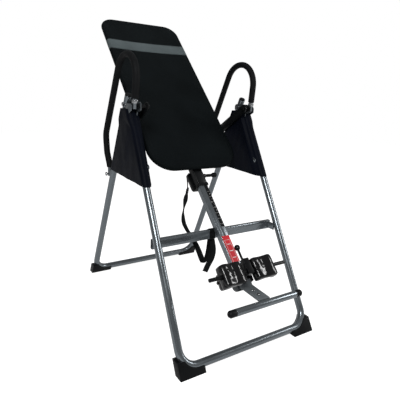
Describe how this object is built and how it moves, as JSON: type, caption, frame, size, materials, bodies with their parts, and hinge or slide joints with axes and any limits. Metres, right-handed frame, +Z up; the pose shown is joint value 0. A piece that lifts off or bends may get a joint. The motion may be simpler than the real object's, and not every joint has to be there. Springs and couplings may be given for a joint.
{
  "type": "inversion table",
  "caption": "Folding A-frame inversion table: reclined fabric bed on side pivots, sliding boom with footrest, ankle clamp and looped foam handles.",
  "frame": {"origin": "the floor, at the middle of the table's length and width", "axes": "+X across the table to the user's left, -Y towards the end with the footrest, +Z up from the floor"},
  "size_m": [0.722, 1.3391, 1.5115],
  "materials": {
    "silver_paint": "silver-grey powder coat, satin",
    "black_paint": "black powder coat, satin",
    "zinc_steel": "bright zinc plate",
    "black_plastic": "black moulded, fine grain",
    "gloss_pad": "black moulded foam with a glossy skin",
    "grey_plastic": "grey moulded",
    "grip_foam": "black closed-cell foam, matte",
    "bed_fabric": "black woven nylon with a dark grey band",
    "cover_fabric": "black nylon, soft folds",
    "webbing": "black nylon webbing",
    "red_label": "red film"
  },
  "bodies": {
    "stand": {"front_frame_tube": "silver_paint", "crossbar": "silver_paint", "front_foot_right": "black_plastic", "front_foot_left": "black_plastic", "hinge_bracket_right": "silver_paint", "hinge_bracket_left": "silver_paint", "hinge_bolt_right": "zinc_steel", "hinge_bolt_left": "zinc_steel", "pivot_bush_right": "black_plastic", "pivot_bush_left": "black_plastic", "handle_tube_right": "silver_paint", "handle_tube_left": "silver_paint", "handle_foam_right": "grip_foam", "handle_foam_left": "grip_foam", "handle_bolt_right": "zinc_steel", "handle_bolt_left": "zinc_steel", "side_cover_right": "cover_fabric", "side_cover_left": "cover_fabric", "tether_strap": "webbing", "tether_tail": "webbing", "tether_loop": "webbing", "tether_buckle": "black_plastic"},
    "rear_frame": {"rear_frame_tube": "silver_paint", "rear_foot_right": "black_plastic", "rear_foot_left": "black_plastic", "rear_end_cap_right": "black_plastic", "rear_end_cap_left": "black_plastic"},
    "brace_front": {"spreader_front_right": "silver_paint", "spreader_front_left": "silver_paint"},
    "brace_rear": {"spreader_rear_right": "silver_paint", "spreader_rear_left": "silver_paint"},
    "bed": {"backrest": "bed_fabric", "bed_loop_tube": "black_paint", "bed_beam": "black_paint", "pivot_pin_right": "black_paint", "pivot_pin_left": "black_paint", "boom_sleeve": "black_paint", "sleeve_collar": "black_plastic"},
    "boom": {"boom_tube": "silver_paint", "boom_plug": "black_plastic", "height_scale": "black_plastic", "boom_label": "red_label", "footrest_bracket": "silver_paint", "footrest_bar": "silver_paint", "footrest_cap_right": "black_plastic", "footrest_cap_left": "black_plastic", "heel_plate": "grey_plastic", "rear_axle": "black_paint", "rear_cushion_right": "gloss_pad", "rear_cushion_left": "gloss_pad", "ankle_lock_housing": "black_paint"},
    "ankle_clamp": {"ankle_slide": "black_paint", "front_axle": "black_paint", "front_cushion_right": "gloss_pad", "front_cushion_left": "gloss_pad"},
    "ankle_release": {"ankle_release_rod": "black_paint", "ankle_release_ball": "gloss_pad"},
    "height_lock": {"height_lock_pin": "zinc_steel", "height_lock_knob": "black_plastic"}
  },
  "joints": [
    {"name": "rear_frame_fold", "type": "hinge", "parent": "stand", "child": "rear_frame", "pos_m": [0, 0.0187, 1.015], "axis": [-1, 0, 0], "range_deg": [0, 40], "deforming": ["side_cover_right", "side_cover_left"]},
    {"name": "brace_front_turn", "type": "hinge", "parent": "stand", "child": "brace_front", "pos_m": [0, -0.17024, 0.745], "axis": [1, 0, 0], "range_deg": [0, 27]},
    {"name": "brace_rear_turn", "type": "hinge", "parent": "rear_frame", "child": "brace_rear", "pos_m": [0, 0.16202, 0.705], "axis": [-1, 0, 0], "range_deg": [0, 33]},
    {"name": "bed_pivot", "type": "hinge", "parent": "stand", "child": "bed", "pos_m": [0, -0.0853, 1.01], "axis": [-1, 0, 0], "range_deg": [0, 100], "deforming": ["tether_strap"]},
    {"name": "boom_height", "type": "slide", "parent": "bed", "child": "boom", "axis": [0, -0.7071, -0.7071], "range_m": [-0.1, 0.125]},
    {"name": "height_lock_pull", "type": "slide", "parent": "bed", "child": "height_lock", "axis": [1, 0, 0], "range_m": [-0.0035, 0.002]},
    {"name": "ankle_clamp_slide", "type": "slide", "parent": "boom", "child": "ankle_clamp", "axis": [0, -0.7071, 0.7071], "range_m": [-0.005, 0.055]},
    {"name": "ankle_release_pull", "type": "slide", "parent": "boom", "child": "ankle_release", "axis": [0, 0.7071, 0.7071], "range_m": [0, 0.012], "stiffness_N_per_m": 500, "springref_m": -0.012}
  ],
  "couplings": [
    {"joint": "brace_front_turn", "follows": "rear_frame_fold", "ratio": 0.6597},
    {"joint": "brace_rear_turn", "follows": "rear_frame_fold", "ratio": 0.81}
  ]
}
